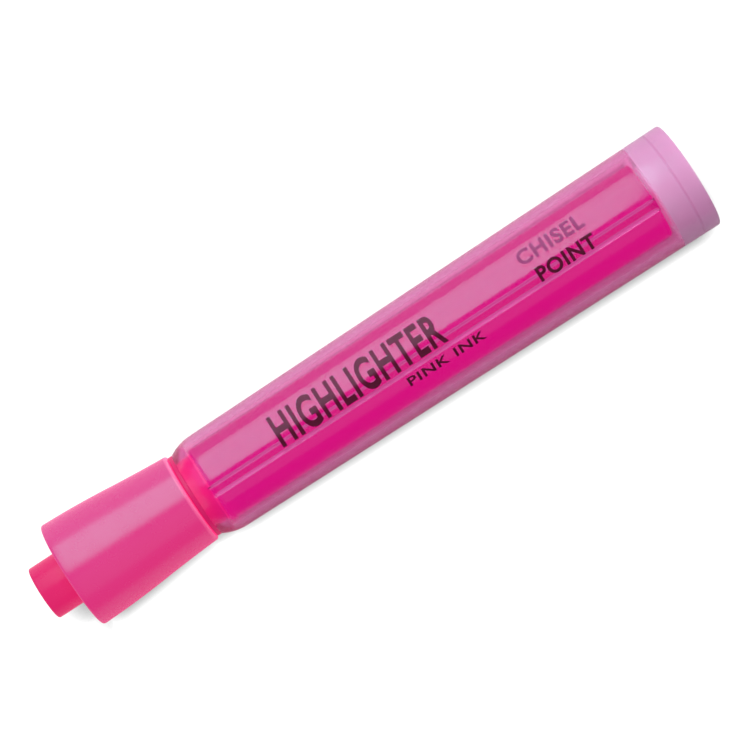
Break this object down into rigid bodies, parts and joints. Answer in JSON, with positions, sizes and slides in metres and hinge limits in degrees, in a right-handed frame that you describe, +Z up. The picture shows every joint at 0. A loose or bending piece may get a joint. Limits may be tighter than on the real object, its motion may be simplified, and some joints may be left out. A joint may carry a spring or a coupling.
{
  "type": "capped highlighter",
  "caption": "Tank-style chisel-tip highlighter: a clear tapered barrel round an ink core, with a tail plug, nib holder, chisel nib and a flared pull-off cap.",
  "frame": {"origin": "centre of the tail face, at the mouth of the posting socket", "axes": "+X along the pen from the tail towards the nib and cap, +Z up with the pen lying on its side"},
  "size_m": [0.125, 0.019, 0.019],
  "materials": {
    "barrel_plastic": "clear, lightly tinted pink, glossy",
    "plug_plastic": "natural translucent plastic",
    "ink_core_fibre": "bonded fibre soaked with pink ink",
    "core_film": "thin clear film",
    "holder_plastic": "moulded, glossy",
    "nib_fibre": "firm bonded fibre wet with ink",
    "cap_plastic": "translucent pink, satin gloss",
    "cup_plastic": "translucent hot pink, satin gloss"
  },
  "bodies": {
    "pen": {"barrel": "barrel_plastic", "tail_plug": "plug_plastic", "ink_core": "ink_core_fibre", "core_film": "core_film", "nib_holder": "holder_plastic", "nib": "nib_fibre"},
    "cap": {"cap_shell": "cap_plastic", "seal_cup": "cup_plastic"}
  },
  "joints": [
    {"name": "cap_pull", "type": "slide", "parent": "pen", "child": "cap", "axis": [1, 0, 0], "range_m": [0, 0.035]}
  ]
}
